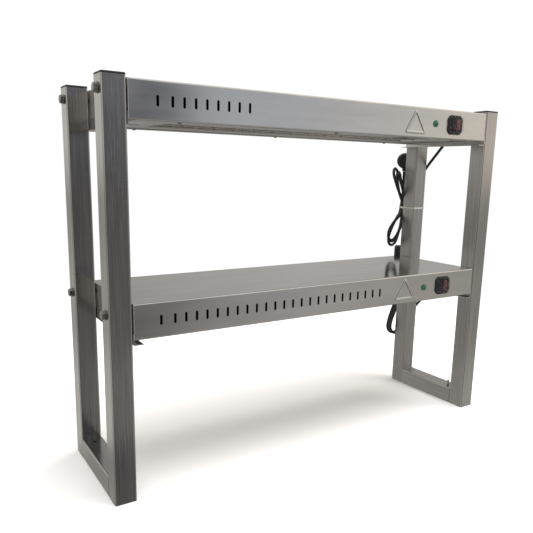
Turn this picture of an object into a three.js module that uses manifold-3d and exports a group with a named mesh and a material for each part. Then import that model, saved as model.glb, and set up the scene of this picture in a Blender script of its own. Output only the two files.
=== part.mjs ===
// A two-tier heat lamp warmer: two heated shelf boxes bolted between two U-shaped
// legs of square steel tube. Units are millimetres, +X right, +Y back, +Z up.
// The origin is on the floor, midway between the legs.

import * as THREE from "three";
import { mergeVertices } from "three/addons/utils/BufferGeometryUtils.js";
import Module from "manifold-3d";

const wasm = await Module();
wasm.setup();

// ---- driving dimensions -------------------------------------------------
const WIDTH = 900; // over the outer faces of the legs
const DEPTH = 240;
const HEIGHT = 700; // to the top of the end caps
const GAP = 0.3; // between pieces that touch

const TUBE = 38; // outside width of the square tube
const TUBE_WALL = 1.5;
const TUBE_RADIUS = 2.5;
const CAP_RIM = 3;
const CAP_PLUG_DEPTH = 14;

const TIER_HEIGHT = 61;
const TIER_HALF_LENGTH = 409.9; // to the outer faces of its end plates
const UPPER_TIER_BOTTOM = 632.5;
const LOWER_TIER_BOTTOM = 284.5;
const SHEET = 1.2; // casing, pan and reflector
const END_PLATE = 1.5;
const LIP = 20; // the casing's return flange under the box
const END_FLANGE = 14;

const TROUGH_LENGTH = 640; // the reflector's hollow, along X
const TROUGH_MOUTH = 104;
const TROUGH_CROWN = 40;
const TROUGH_HEIGHT = 36;
const LAMP_RADIUS = 6.5;
const LAMP_LENGTH = 596;
const LAMP_HEIGHT = 22; // its axis above the underside
const GUARD_WIRE = 2.4;
const GUARD_BARS = 15;

const SLOT_LENGTH = 17;
const SLOT_WIDTH = 4;
const SLOT_PITCH = 20;
const FIRST_SLOT_X = -362.5;
const SECOND_SLOT_X = -337.5;
const UPPER_SLOTS = 9;
const LOWER_SLOTS = 25;
const FRONT_CENTRE = 30.5; // slots, lamp and switch, above the tier's bottom

const PILOT_X = 252;
const SWITCH_X = 310;
const ROCKER_TILT = THREE.MathUtils.degToRad(10);

const BOLT_HEIGHT = 44.5; // above the tier's bottom
const BOLT_HOLE = 4.5;
const BOLT_SHANK = 3.7;
const BOLT_INSET = (DEPTH - TUBE) / 2; // the bolts stand on the tubes' centre lines

const ANGLE_FLANGE = 18;
const ANGLE_LEG = 20;
const ANGLE_SHEET = 1.5;
const ANGLE_DROP = 8; // from the tier's bottom to the angle's underside

const FIX_HOLE_Y = 60; // holes for fixing the legs to a counter
const FIX_HOLE = 4.5;

const GLAND_HEIGHT = 34.5; // above the tier's bottom
const GLAND_TIP_X = 427;
const CORD = 7;

// ---- materials ----------------------------------------------------------
function finish(color, roughness, metalness, extra = {}) {
  return new THREE.MeshStandardMaterial({ color, roughness, metalness, ...extra });
}
const TUBE_STEEL = finish(0x8f8c86, 0.25, 1);
const SHEET_STEEL = finish(0xa8a7a4, 0.18, 1);
const MIRROR_STEEL = finish(0xc9c8c4, 0.08, 1);
const BOLT_STEEL = finish(0x9c9a96, 0.3, 1);
const BLACK_PLASTIC = finish(0x1d1d1f, 0.5, 0);
const CORD_PVC = finish(0x161617, 0.55, 0);
const CERAMIC = finish(0xe6e1d6, 0.7, 0);
const QUARTZ = finish(0xf0e9e2, 0.15, 0, { transparent: true, opacity: 0.6 });
const RED_LENS = finish(0x7a1216, 0.25, 0);
const GREEN_LENS = finish(0x1f5a3c, 0.25, 0);
const CLEAR_PVC = finish(0xd8d8dc, 0.2, 0, { transparent: true, opacity: 0.35 });
const NYLON = finish(0xd9d6cf, 0.45, 0);

// ---- solids -------------------------------------------------------------
// A closed three.js geometry as a manifold solid.
function solid(geometry) {
  const bare = geometry.index ? geometry.toNonIndexed() : geometry.clone();
  bare.deleteAttribute("normal");
  bare.deleteAttribute("uv");
  const merged = mergeVertices(bare, 1e-4);
  return new wasm.Manifold(
    new wasm.Mesh({
      numProp: 3,
      vertProperties: new Float32Array(merged.attributes.position.array),
      triVerts: new Uint32Array(merged.index.array),
    }),
  );
}

// A manifold solid as a three.js geometry.
function geometryOf(body) {
  const mesh = body.getMesh();
  const geometry = new THREE.BufferGeometry();
  const position = new THREE.BufferAttribute(new Float32Array(mesh.vertProperties), 3);
  geometry.setAttribute("position", position);
  geometry.setIndex(new THREE.BufferAttribute(new Uint32Array(mesh.triVerts), 1));
  geometry.computeVertexNormals();
  return geometry;
}

function joined(...geometries) {
  return geometryOf(geometries.map(solid).reduce((a, b) => a.add(b)));
}

function cut(geometry, ...cutters) {
  return geometryOf(cutters.map(solid).reduce((a, b) => a.subtract(b), solid(geometry)));
}

function box([x0, y0, z0], [x1, y1, z1]) {
  return new THREE.BoxGeometry(x1 - x0, y1 - y0, z1 - z0).translate(
    (x0 + x1) / 2,
    (y0 + y1) / 2,
    (z0 + z1) / 2,
  );
}

// A cylinder from one X to another; six sides make a hexagon head.
function rodX(radius, from, to, [y, z], sides = 12) {
  return new THREE.CylinderGeometry(radius, radius, to - from, sides)
    .rotateZ(-Math.PI / 2)
    .translate((from + to) / 2, y, z);
}

function rodY(radius, from, to, [x, z], sides = 12) {
  return new THREE.CylinderGeometry(radius, radius, to - from, sides)
    .translate(0, (from + to) / 2, 0)
    .translate(x, 0, z);
}

function rodZ(radius, from, to, [x, y], sides = 12) {
  return new THREE.CylinderGeometry(radius, radius, to - from, sides)
    .rotateX(Math.PI / 2)
    .translate(x, y, (from + to) / 2);
}

function polygon(points) {
  return new THREE.Shape(points.map(([a, b]) => new THREE.Vector2(a, b)));
}

// A flat outline in (Y, Z) drawn out along X, centred on X = 0.
function prismX(shape, length) {
  return new THREE.ExtrudeGeometry(shape, { depth: length, bevelEnabled: false, curveSegments: 3 })
    .translate(0, 0, -length / 2)
    .rotateX(Math.PI / 2)
    .rotateZ(Math.PI / 2);
}

// A flat outline in (X, Z) drawn out along Y.
function prismY(shape, from, to) {
  return new THREE.ExtrudeGeometry(shape, {
    depth: to - from,
    bevelEnabled: false,
    curveSegments: 3,
  })
    .rotateX(Math.PI / 2)
    .translate(0, to, 0);
}

function roundedSquare(side, radius) {
  const h = side / 2;
  const c = h - radius;
  const shape = new THREE.Shape();
  shape.moveTo(h, -c);
  shape.lineTo(h, c);
  shape.absarc(c, c, radius, 0, Math.PI / 2);
  shape.lineTo(-c, h);
  shape.absarc(-c, c, radius, Math.PI / 2, Math.PI);
  shape.lineTo(-h, -c);
  shape.absarc(-c, -c, radius, Math.PI, 1.5 * Math.PI);
  shape.lineTo(c, -h);
  shape.absarc(c, -c, radius, 1.5 * Math.PI, 2 * Math.PI);
  return shape;
}

function extruded(shape, depth, curveSegments = 1) {
  return new THREE.ExtrudeGeometry(shape, { depth, bevelEnabled: false, curveSegments });
}

function mesh(name, geometry, material, [x, y, z] = [0, 0, 0]) {
  const made = new THREE.Mesh(geometry, material);
  made.name = name;
  made.position.set(x, y, z);
  return made;
}

// ---- legs ---------------------------------------------------------------
const LEG_X = (WIDTH - TUBE) / 2;
const LEG_Y = (DEPTH - TUBE) / 2;
const SIDES = [
  ["left", -1],
  ["right", 1],
];
const ENDS = [
  ["front", -1],
  ["rear", 1],
];

function squareTube(length) {
  const section = roundedSquare(TUBE, TUBE_RADIUS);
  section.holes.push(roundedSquare(TUBE - 2 * TUBE_WALL, TUBE_RADIUS - TUBE_WALL));
  return extruded(section, length);
}

// An upright stands on the floor; two bolts cross it for each tier.
function upright() {
  const holes = [UPPER_TIER_BOTTOM, LOWER_TIER_BOTTOM].map((bottom) =>
    rodX(BOLT_HOLE, -TUBE, TUBE, [0, bottom + BOLT_HEIGHT]),
  );
  return cut(squareTube(HEIGHT - CAP_RIM), ...holes);
}

// The base bar is butted between the two uprights of a leg.
function baseBar() {
  const length = DEPTH - 2 * TUBE - 2 * GAP;
  const tube = squareTube(length)
    .translate(0, 0, -length / 2)
    .rotateX(Math.PI / 2)
    .translate(0, 0, TUBE / 2);
  const holes = [-FIX_HOLE_Y, FIX_HOLE_Y].map((y) => rodZ(FIX_HOLE, -1, TUBE + 1, [0, y]));
  return cut(tube, ...holes);
}

// A plastic cap: a rim over the tube's end and a hollow plug inside it.
function endCap() {
  const plug = TUBE - 2 * TUBE_WALL - 2 * GAP;
  const rim = extruded(roundedSquare(TUBE, TUBE_RADIUS), CAP_RIM - GAP).translate(0, 0, GAP);
  const skirt = extruded(roundedSquare(plug, 1), CAP_PLUG_DEPTH + 1).translate(
    0,
    0,
    -CAP_PLUG_DEPTH,
  );
  const hollow = extruded(roundedSquare(plug - 4, 1), CAP_PLUG_DEPTH).translate(
    0,
    0,
    -CAP_PLUG_DEPTH - 1,
  );
  return cut(joined(rim, skirt), hollow);
}

// ---- shelf box ----------------------------------------------------------
const HALF = DEPTH / 2;
const CASING_HALF = TIER_HALF_LENGTH - END_PLATE - GAP;
const PAN_BOTTOM = SHEET + GAP;

function slotXs(count) {
  return Array.from({ length: count }, (_, i) =>
    i === 0 ? FIRST_SLOT_X : SECOND_SLOT_X + (i - 1) * SLOT_PITCH,
  );
}

function slot(x) {
  const r = SLOT_WIDTH / 2;
  const straight = SLOT_LENGTH / 2 - r;
  const shape = new THREE.Shape();
  shape.moveTo(r, -straight);
  shape.absarc(0, straight, r, 0, Math.PI);
  shape.absarc(0, -straight, r, Math.PI, 2 * Math.PI);
  const depth = 4 * SHEET;
  return new THREE.ExtrudeGeometry(shape, { depth, bevelEnabled: false, curveSegments: 2 })
    .rotateX(Math.PI / 2)
    .translate(x, -HALF + depth / 2, FRONT_CENTRE);
}

// One folded sheet: top, front and rear, with a lip under each long edge.
function casing(slots) {
  const t = SHEET;
  const top = TIER_HEIGHT;
  const section = polygon([
    [-HALF, 0],
    [-HALF + LIP, 0],
    [-HALF + LIP, t],
    [-HALF + t, t],
    [-HALF + t, top - t],
    [HALF - t, top - t],
    [HALF - t, t],
    [HALF - LIP, t],
    [HALF - LIP, 0],
    [HALF, 0],
    [HALF, top - 1.5],
    [HALF - 1.5, top],
    [-HALF + 1.5, top],
    [-HALF, top - 1.5],
  ]);
  const switchHole = box(
    [SWITCH_X - 14.5, -HALF - 2, FRONT_CENTRE - 13],
    [SWITCH_X + 14.5, -HALF + 4, FRONT_CENTRE + 13],
  );
  const pilotHole = rodY(5.2, -HALF - 2, -HALF + 4, [PILOT_X, FRONT_CENTRE]);
  const holes = slotXs(slots).map(slot);
  return cut(prismX(section, 2 * CASING_HALF), switchHole, pilotHole, ...holes);
}

// An end plate with flanges turned into the box and two weld nuts behind it.
function endPlate(side) {
  const inside = HALF - SHEET - GAP;
  const face = TIER_HALF_LENGTH;
  const back = face - END_PLATE;
  const deep = back - END_FLANGE;
  const topInside = TIER_HEIGHT - SHEET - GAP;
  const plate = box([back, -HALF, 0], [face, HALF, TIER_HEIGHT]);
  const flanges = [
    box([deep, -inside, topInside - SHEET], [back + 0.5, inside, topInside]),
    box([deep, -inside, PAN_BOTTOM], [back + 0.5, inside, PAN_BOTTOM + SHEET]),
    box([deep, -inside, PAN_BOTTOM], [back + 0.5, -inside + SHEET, topInside]),
    box([deep, inside - SHEET, PAN_BOTTOM], [back + 0.5, inside, topInside]),
  ];
  const nuts = [-BOLT_INSET, BOLT_INSET].map((y) =>
    rodX(7.5, back - 6.5, back + 0.5, [y, BOLT_HEIGHT], 6),
  );
  const bores = [-BOLT_INSET, BOLT_INSET].map((y) =>
    rodX(BOLT_HOLE - 0.4, back - 8, face + 1, [y, BOLT_HEIGHT]),
  );
  const glandHole = rodX(6.3, back - 1, face + 1, [0, GLAND_HEIGHT], 16);
  const cutters = side > 0 ? [...bores, glandHole] : bores;
  const made = cut(joined(plate, ...flanges, ...nuts), ...cutters);
  return side > 0 ? made : mirrored(made);
}

// A geometry reflected in X, with its faces turned back outwards.
function mirrored(geometry) {
  const made = geometry.clone().scale(-1, 1, 1);
  const index = made.index.array;
  for (let i = 0; i < index.length; i += 3) {
    [index[i + 1], index[i + 2]] = [index[i + 2], index[i + 1]];
  }
  made.computeVertexNormals();
  return made;
}

// The trough's section, open at the bottom: mouth wider than crown.
function troughSection(grow, bottom) {
  const mouth = TROUGH_MOUTH / 2 + grow;
  const crown = TROUGH_CROWN / 2 + grow;
  return polygon([
    [-mouth, bottom],
    [mouth, bottom],
    [crown, TROUGH_HEIGHT + grow],
    [-crown, TROUGH_HEIGHT + grow],
  ]);
}

// The underside: a polished sheet with a long trough pressed up behind the lamp.
function reflectorPan() {
  const length = TROUGH_LENGTH + 2 * SHEET;
  const halfX = CASING_HALF - END_FLANGE - 1;
  const halfY = HALF - SHEET - 1;
  const plate = box([-halfX, -halfY, PAN_BOTTOM], [halfX, halfY, PAN_BOTTOM + SHEET]);
  const shell = prismX(troughSection(SHEET, PAN_BOTTOM), length);
  const hollow = prismX(troughSection(0, PAN_BOTTOM - 1), TROUGH_LENGTH);
  const pan = cut(joined(plate, shell), hollow);
  const leads = [-1, 1].map((s) =>
    rodX(LAMP_RADIUS + 2.4, s * length * 0.5 - 3, s * length * 0.5 + 3, [0, LAMP_HEIGHT]),
  );
  return cut(pan, ...leads);
}

// A quartz tube with pinched ends that sit in the ceramic holders.
function lampTube() {
  const half = LAMP_LENGTH / 2;
  return new THREE.LatheGeometry(
    [
      [0, -half - 12],
      [2.4, -half - 12],
      [2.4, -half],
      [LAMP_RADIUS, -half + 5],
      [LAMP_RADIUS, half - 5],
      [2.4, half],
      [2.4, half + 12],
      [0, half + 12],
    ].map(([r, x]) => new THREE.Vector2(r, x)),
    16,
  )
    .rotateZ(-Math.PI / 2)
    .translate(0, 0, LAMP_HEIGHT);
}

// A ceramic holder passes through the trough's end wall and takes the lamp's pin.
function lampHolder(side) {
  const inner = LAMP_LENGTH / 2 + 1;
  const wall = TROUGH_LENGTH / 2;
  const profile = [
    [2.7, inner],
    [8.6, inner],
    [8.6, wall + 14],
    [0, wall + 14],
    [0, inner + 14],
    [2.7, inner + 14],
    [2.7, inner],
  ];
  const made = new THREE.LatheGeometry(
    profile.map(([r, x]) => new THREE.Vector2(r, x)),
    16,
  )
    .rotateZ(-Math.PI / 2)
    .translate(0, 0, LAMP_HEIGHT);
  const holder = geometryOf(solid(made));
  return side > 0 ? holder : mirrored(holder);
}

// A welded wire guard across the trough's mouth, under the lamp.
function wireGuard() {
  const half = TROUGH_LENGTH / 2 - 4;
  const reach = TROUGH_MOUTH / 2 - 6;
  const z = PAN_BOTTOM + 1;
  const w = GUARD_WIRE;
  const rails = [-reach, 0, reach].map((y) =>
    box([-half, y - w / 2, z], [half, y + w / 2, z + w]),
  );
  const pitch = (2 * half - w) / (GUARD_BARS - 1);
  const bars = Array.from({ length: GUARD_BARS }, (_, i) => {
    const x = -half + w / 2 + i * pitch;
    return box([x - w / 2, -reach, z + w / 2], [x + w / 2, reach, z + 1.5 * w]);
  });
  return joined(...rails, ...bars);
}

// A porcelain block with three terminal towers, beside the right end plate.
function terminalBlock() {
  const base = box([352, -28, 30], [388, 28, 38]);
  const towers = [-18, 0, 18].map((y) => box([356, y - 6, 37], [384, y + 6, 50]));
  return joined(base, ...towers);
}

// ---- controls -----------------------------------------------------------
// An octagon in (X, Z) about the switch's centre.
function octagon(halfX, halfZ, chamfer) {
  return polygon([
    [-halfX, -halfZ + chamfer],
    [-halfX + chamfer, -halfZ],
    [halfX - chamfer, -halfZ],
    [halfX, -halfZ + chamfer],
    [halfX, halfZ - chamfer],
    [halfX - chamfer, halfZ],
    [-halfX + chamfer, halfZ],
    [-halfX, halfZ - chamfer],
  ]);
}

const BEZEL_FRONT = -HALF - GAP - 2.6;
const ROCKER_PIN_Y = -HALF + 3;
const ROCKER_PIN = 1.4;

// The switch's body: a bezel on the panel, and a box behind it with a well,
// whose top and bottom walls hold the rocker's pins.
function switchBody() {
  const bezel = prismY(octagon(21, 20, 5), BEZEL_FRONT, -HALF - GAP);
  const housing = box([-14, -HALF - GAP - 0.5, -12.5], [14, -HALF + 22, 12.5]);
  const well = box([-12, BEZEL_FRONT - 1, -10.5], [12, -HALF + 9, 10.5]);
  const pinHoles = rodZ(ROCKER_PIN + GAP, -13, 13, [0, ROCKER_PIN_Y]);
  return cut(joined(bezel, housing), well, pinHoles);
}

// The rocker turns about its own upright pins; its left half rests pressed in.
function rocker() {
  const shape = polygon([
    [-10.6, -6.5],
    [0, -7.8],
    [10.6, -6.5],
    [10, 1.5],
    [3, 4],
    [-3, 4],
    [-10, 1.5],
  ]);
  const face = extruded(shape, 19).translate(0, 0, -9.5);
  return joined(face, rodZ(ROCKER_PIN, -12, 12, [0, 0])).rotateZ(-ROCKER_TILT);
}

// The waterproof boot: a soft clear cap over the bezel, open at the back.
function switchBoot() {
  const back = BEZEL_FRONT - GAP;
  const front = -HALF - 9.6;
  const skin = prismY(octagon(18, 18.4, 5), front, back);
  const hollow = prismY(octagon(16.6, 17, 4.4), front + 1.2, back + 1);
  return cut(skin, hollow);
}

function pilotLamp() {
  const profile = [
    [0, 24],
    [4.6, 24],
    [4.9, -GAP],
    [7, -GAP],
    [7, -1.8],
    [5.4, -2.6],
    [4.2, -4.2],
    [0, -5],
  ];
  return turnedY(profile).translate(PILOT_X, -HALF, FRONT_CENTRE);
}

// A profile of (radius, Y) points turned about Y.
function turnedY(profile, sides = 16) {
  const points = profile.map(([r, y]) => new THREE.Vector2(r, y));
  const made = new THREE.LatheGeometry(points, sides);
  return solid(made).volume() > 0 ? made : new THREE.LatheGeometry(points.reverse(), sides);
}

// ---- mains cords --------------------------------------------------------
// A strain relief gland through the right end plate, tapering outwards along +X.
function gland() {
  const face = TIER_HALF_LENGTH;
  const profile = [
    [0, face - END_PLATE - 5],
    [7.6, face - END_PLATE - 5],
    [7.6, face - END_PLATE - GAP],
    [6, face - END_PLATE - GAP],
    [6, face + GAP],
    [9, face + GAP],
    [9, face + 3],
    [6.4, face + 3.6],
    [4.6, GLAND_TIP_X],
    [0, GLAND_TIP_X],
  ];
  const points = profile.map(([r, x]) => new THREE.Vector2(r, x));
  return new THREE.LatheGeometry(points, 16)
    .rotateZ(-Math.PI / 2)
    .translate(0, 0, GLAND_HEIGHT);
}

function circleSection(radius, sides) {
  const points = Array.from({ length: sides }, (_, i) => {
    const angle = (2 * Math.PI * i) / sides;
    return [radius * Math.cos(angle), radius * Math.sin(angle)];
  });
  return polygon(points);
}

// A cord through its route's points, drawn as a tube.
function tube(points, diameter, step) {
  const path = new THREE.CatmullRomCurve3(points.map((p) => new THREE.Vector3(...p)));
  const steps = Math.round(path.getLength() / step);
  return new THREE.ExtrudeGeometry(circleSection(diameter / 2, 8), {
    steps,
    extrudePath: path,
    bevelEnabled: false,
  });
}

// A hank's outer shape: a closed smooth outline in (X, Z) drawn out along Y.
function hank(outline, from, to) {
  const curve = new THREE.CatmullRomCurve3(
    outline.map(([x, z]) => new THREE.Vector3(x, z, 0)),
    true,
  );
  const points = curve.getPoints(36).slice(0, -1);
  return prismY(polygon(points.map((p) => [p.x, p.y])), from, to);
}

// A nylon tie round the rear right upright and the hank behind it.
function cableTie(left, right, back) {
  const around = (grow) => {
    const x0 = LEG_X - TUBE / 2 - 0.5 - grow;
    const x1 = LEG_X + TUBE / 2 + 0.5 + grow;
    const y0 = LEG_Y - TUBE / 2 - 0.5 - grow;
    return polygon([
      [x0, y0],
      [x1, y0],
      [x1, HALF + 0.5],
      [right + 0.5 + grow, back + 0.5 + grow],
      [left - 0.5 - grow, back + 0.5 + grow],
      [x0, HALF + 0.5],
    ]);
  };
  const band = around(1.2);
  band.holes.push(around(0));
  return extruded(band, 4.6).translate(0, 0, -2.3);
}

// A round angled mains plug about its own centre: the pins point along +Y and
// the cord leaves downwards.
function plug() {
  const body = turnedY(
    [
      [0, -11],
      [15, -11],
      [19, -8.5],
      [20, -5],
      [20, 9],
      [18.4, 11],
      [0, 11],
    ],
    20,
  );
  const neck = rodZ(6.5, -27, -17, [0, 1], 12);
  const pins = [-9.5, 9.5].map((x) => rodY(2.4, 10, 29, [x, 0], 10));
  return joined(body, neck, ...pins);
}

// Each cord: the route from the gland to the hank, the hank's outline, the route
// from the hank to the plug, and how the plug stands.
const CORDS = {
  upper: {
    lead: [
      [427.9, 0, 667],
      [434, 0.6, 666.4],
      [440.5, 2.4, 664.4],
      [446, 5.2, 661],
      [450.2, 9, 657.4],
      [452.8, 13.2, 652.8],
      [453.7, 18, 647.7],
      [453.8, 34, 631],
      [453.8, 52, 612],
      [453.8, 68, 595],
      [454.2, 82, 580],
      [455.6, 94, 567.5],
      [456.2, 104, 557],
      [456, 112.5, 548],
      [453.8, 119.9, 540],
      [449.4, 125.3, 532.5],
      [443.6, 127.6, 525.5],
    ],
    outline: [
      [443.5, 472],
      [440, 497],
      [431, 524],
      [419.5, 552],
      [410, 573],
      [394, 579],
      [379, 568],
      [379, 547],
      [397, 519],
      [413, 494],
      [419.5, 472],
      [414, 451],
      [399, 426],
      [376, 404],
      [370, 388],
      [381, 375],
      [399, 365],
      [418, 372],
      [428, 395],
      [436, 431],
    ],
    tie: [419.5, 443.5, 145],
    tieHeight: 472,
    plugLead: [
      [436.4, 145.4, 523],
      [437, 146.4, 532],
      [437, 147.2, 543],
      [436.8, 147.5, 554],
      [436.7, 147.5, 564.6],
    ],
    plug: { at: [436.7, 147.5, 592], turn: -Math.PI / 4 },
  },
  lower: {
    lead: [
      [427.9, 0, 319],
      [434, 0.6, 318.4],
      [440.5, 2.4, 316.4],
      [446, 5.2, 313],
      [450.2, 9, 309.4],
      [452.8, 13.2, 304.8],
      [453.7, 18, 299.7],
      [453.8, 33, 280],
      [453.8, 50, 258],
      [453.8, 66, 237.5],
      [454.2, 80, 221],
      [455.6, 92, 208],
      [456.2, 103, 197],
      [456, 112, 186.5],
      [454, 119.8, 176.5],
      [450.6, 125.2, 168],
    ],
    outline: [
      [446, 229],
      [448, 255],
      [450, 283],
      [444, 305],
      [425, 314],
      [406, 305],
      [402, 283],
      [411, 255],
      [420, 229],
      [414, 200],
      [408, 170],
      [402, 146],
      [407, 129],
      [424, 122],
      [440, 129],
      [445.5, 146],
      [444, 170],
      [444, 200],
    ],
    tie: [418.5, 446.5, 145],
    tieHeight: 232,
    plugLead: [
      [433, 149.2, 243],
      [434, 149.4, 262],
      [435.4, 149.2, 282],
      [436, 149, 302],
      [436, 149, 320.6],
    ],
    plug: { at: [436, 149, 348], turn: -0.75 * Math.PI },
  },
};

// ---- assembly -----------------------------------------------------------
const root = new THREE.Group();

const legs = new THREE.Group();
root.add(legs);
for (const [side, s] of SIDES) {
  legs.add(mesh(`${side}_base_bar`, baseBar(), TUBE_STEEL, [s * LEG_X, 0, 0]));
  for (const [end, e] of ENDS) {
    const foot = [s * LEG_X, e * LEG_Y, 0];
    const head = [s * LEG_X, e * LEG_Y, HEIGHT - CAP_RIM];
    legs.add(mesh(`${side}_${end}_upright`, upright(), TUBE_STEEL, foot));
    legs.add(mesh(`${side}_${end}_end_cap`, endCap(), BLACK_PLASTIC, head));
  }
}

// A hexagon bolt with its washer, from outside the leg into the end plate's nut.
function tierBolt(side) {
  const face = WIDTH / 2;
  const centre = [0, 0];
  const made = joined(
    rodX(7.5, face + GAP + 1.6, face + 8, centre, 6),
    rodX(8.5, face + GAP, face + GAP + 1.7, centre, 16),
    rodX(BOLT_SHANK, TIER_HALF_LENGTH - END_PLATE - 9, face + 1, centre),
  );
  return side > 0 ? made : mirrored(made);
}

// The angle under a box's end: a leg up the side and a flange inwards.
function supportAngle(side) {
  const out = WIDTH / 2 - TUBE - GAP;
  const made = prismY(
    polygon([
      [out, -ANGLE_DROP],
      [out, ANGLE_LEG - ANGLE_DROP],
      [out - ANGLE_SHEET, ANGLE_LEG - ANGLE_DROP],
      [out - ANGLE_SHEET, -ANGLE_DROP + ANGLE_SHEET],
      [out - ANGLE_FLANGE, -ANGLE_DROP + ANGLE_SHEET],
      [out - ANGLE_FLANGE, -ANGLE_DROP],
    ]),
    -HALF,
    HALF,
  );
  return side > 0 ? made : mirrored(geometryOf(solid(made)));
}

const TIERS = [
  ["upper", UPPER_TIER_BOTTOM, UPPER_SLOTS],
  ["lower", LOWER_TIER_BOTTOM, LOWER_SLOTS],
];
for (const [tier, bottom, slots] of TIERS) {
  const group = new THREE.Group();
  group.position.z = bottom;
  root.add(group);
  group.add(mesh(`${tier}_casing`, casing(slots), SHEET_STEEL));
  group.add(mesh(`${tier}_reflector_pan`, reflectorPan(), MIRROR_STEEL));
  group.add(mesh(`${tier}_heat_tube`, lampTube(), QUARTZ));
  group.add(mesh(`${tier}_wire_guard`, wireGuard(), BOLT_STEEL));
  group.add(mesh(`${tier}_terminal_block`, terminalBlock(), CERAMIC));
  group.add(mesh(`${tier}_pilot_lamp`, pilotLamp(), GREEN_LENS));
  for (const [side, s] of SIDES) {
    group.add(mesh(`${tier}_${side}_end_plate`, endPlate(s), SHEET_STEEL));
    group.add(mesh(`${tier}_${side}_lamp_holder`, lampHolder(s), CERAMIC));
    group.add(mesh(`${tier}_${side}_support_angle`, supportAngle(s), SHEET_STEEL));
    for (const [end, e] of ENDS) {
      const place = [0, e * BOLT_INSET, BOLT_HEIGHT];
      group.add(mesh(`${tier}_${side}_${end}_bolt`, tierBolt(s), BOLT_STEEL, place));
    }
  }

  const switchGroup = new THREE.Group();
  switchGroup.position.set(SWITCH_X, 0, FRONT_CENTRE);
  group.add(switchGroup);
  switchGroup.add(mesh(`${tier}_switch_body`, switchBody(), BLACK_PLASTIC));
  switchGroup.add(mesh(`${tier}_switch_rocker`, rocker(), RED_LENS, [0, ROCKER_PIN_Y, 0]));
  switchGroup.add(mesh(`${tier}_switch_boot`, switchBoot(), CLEAR_PVC));

  const cord = CORDS[tier];
  const plugMesh = mesh(`${tier}_plug`, plug(), BLACK_PLASTIC, cord.plug.at);
  plugMesh.rotation.z = cord.plug.turn;
  group.add(mesh(`${tier}_cord_gland`, gland(), BLACK_PLASTIC));
  root.add(mesh(`${tier}_cord_lead`, tube(cord.lead, CORD, 2.2 * CORD), CORD_PVC));
  root.add(mesh(`${tier}_cord_hank`, hank(cord.outline, 121, 145), CORD_PVC));
  root.add(mesh(`${tier}_plug_lead`, tube(cord.plugLead, CORD, 1.4 * CORD), CORD_PVC));
  root.add(mesh(`${tier}_cable_tie`, cableTie(...cord.tie), NYLON, [0, 0, cord.tieHeight]));
  root.add(plugMesh);
}

export default root;
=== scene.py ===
import bmesh
import bpy
import numpy as np
from mathutils import Matrix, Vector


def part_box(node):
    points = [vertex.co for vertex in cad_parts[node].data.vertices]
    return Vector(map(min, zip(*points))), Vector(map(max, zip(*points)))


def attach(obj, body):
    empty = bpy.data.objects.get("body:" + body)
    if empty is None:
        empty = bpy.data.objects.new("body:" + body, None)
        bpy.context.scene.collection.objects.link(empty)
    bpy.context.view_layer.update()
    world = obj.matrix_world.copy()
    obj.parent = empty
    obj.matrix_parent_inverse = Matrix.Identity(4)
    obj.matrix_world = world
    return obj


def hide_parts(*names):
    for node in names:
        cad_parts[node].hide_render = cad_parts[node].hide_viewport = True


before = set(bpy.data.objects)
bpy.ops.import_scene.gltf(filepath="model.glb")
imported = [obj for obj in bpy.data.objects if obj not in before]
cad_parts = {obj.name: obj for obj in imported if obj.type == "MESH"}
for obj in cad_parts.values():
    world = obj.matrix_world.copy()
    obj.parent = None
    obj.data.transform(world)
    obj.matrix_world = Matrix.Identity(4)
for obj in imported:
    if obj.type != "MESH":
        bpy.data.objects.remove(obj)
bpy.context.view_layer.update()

# ---- camera -------------------------------------------------------------------------
# A camera at standing height in front of the left leg, turned towards the right end.
# Its lens is a little longer than normal, and its frame is raised rather than tilted.
YAW, PITCH, ROLL = np.radians([32.383, 11.528, 1.149])
EYE = (-0.72375, -1.01533, 0.5625)

ahead = np.array(
    [np.sin(YAW) * np.cos(PITCH), np.cos(YAW) * np.cos(PITCH), -np.sin(PITCH)]
)
level = np.array([np.cos(YAW), -np.sin(YAW), 0.0])
upward = np.cross(level, ahead)
camera_x = np.cos(ROLL) * level + np.sin(ROLL) * upward
camera_y = np.cos(ROLL) * upward - np.sin(ROLL) * level
camera = bpy.data.objects.new("camera", bpy.data.cameras.new("camera"))
camera.matrix_world = Matrix.Translation(EYE) @ Matrix(
    np.stack([camera_x, camera_y, -ahead], 1).tolist()
).to_4x4()
camera.data.sensor_width = 36
camera.data.lens = 39.935
camera.data.shift_x = -0.00145
camera.data.shift_y = 0.0443
camera.data.clip_start = 0.05
bpy.context.scene.collection.objects.link(camera)
bpy.context.scene.camera = camera
bpy.context.scene.view_settings.view_transform = "Standard"

# ---- mains cords --------------------------------------------------------------------
# Black PVC-sheathed flexible cord, 7 mm over the sheath: out of the right end, round the
# rear upright, folded into a hank of six runs, and up to the plug. Extruded, so it is
# smooth and slightly glossy, with a faint drag along its length.
MM = 0.001
TIERS = ("upper", "lower")
CORD = 7.0
LAYER = 7.3  # between neighbouring runs of a hank
BUNCH = 3.7  # half the distance between a hank's two columns, in its tie


def linear(text):
    """An sRGB hex colour as linear red, green, blue and an alpha of 1."""
    c = np.array([int(text[i : i + 2], 16) for i in (1, 3, 5)]) / 255
    c = np.where(c <= 0.04045, c / 12.92, ((c + 0.055) / 1.055) ** 2.4)
    return (*c.tolist(), 1.0)


def add(tree, kind, inputs=None, **settings):
    """One shader node, with its settings, and its sockets set or linked."""
    node = tree.nodes.new("ShaderNode" + kind)
    for key, value in settings.items():
        setattr(node, key, value)
    for key, value in (inputs or {}).items():
        if isinstance(value, bpy.types.NodeSocket):
            tree.links.new(value, node.inputs[key])
        else:
            node.inputs[key].default_value = value
    return node


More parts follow.
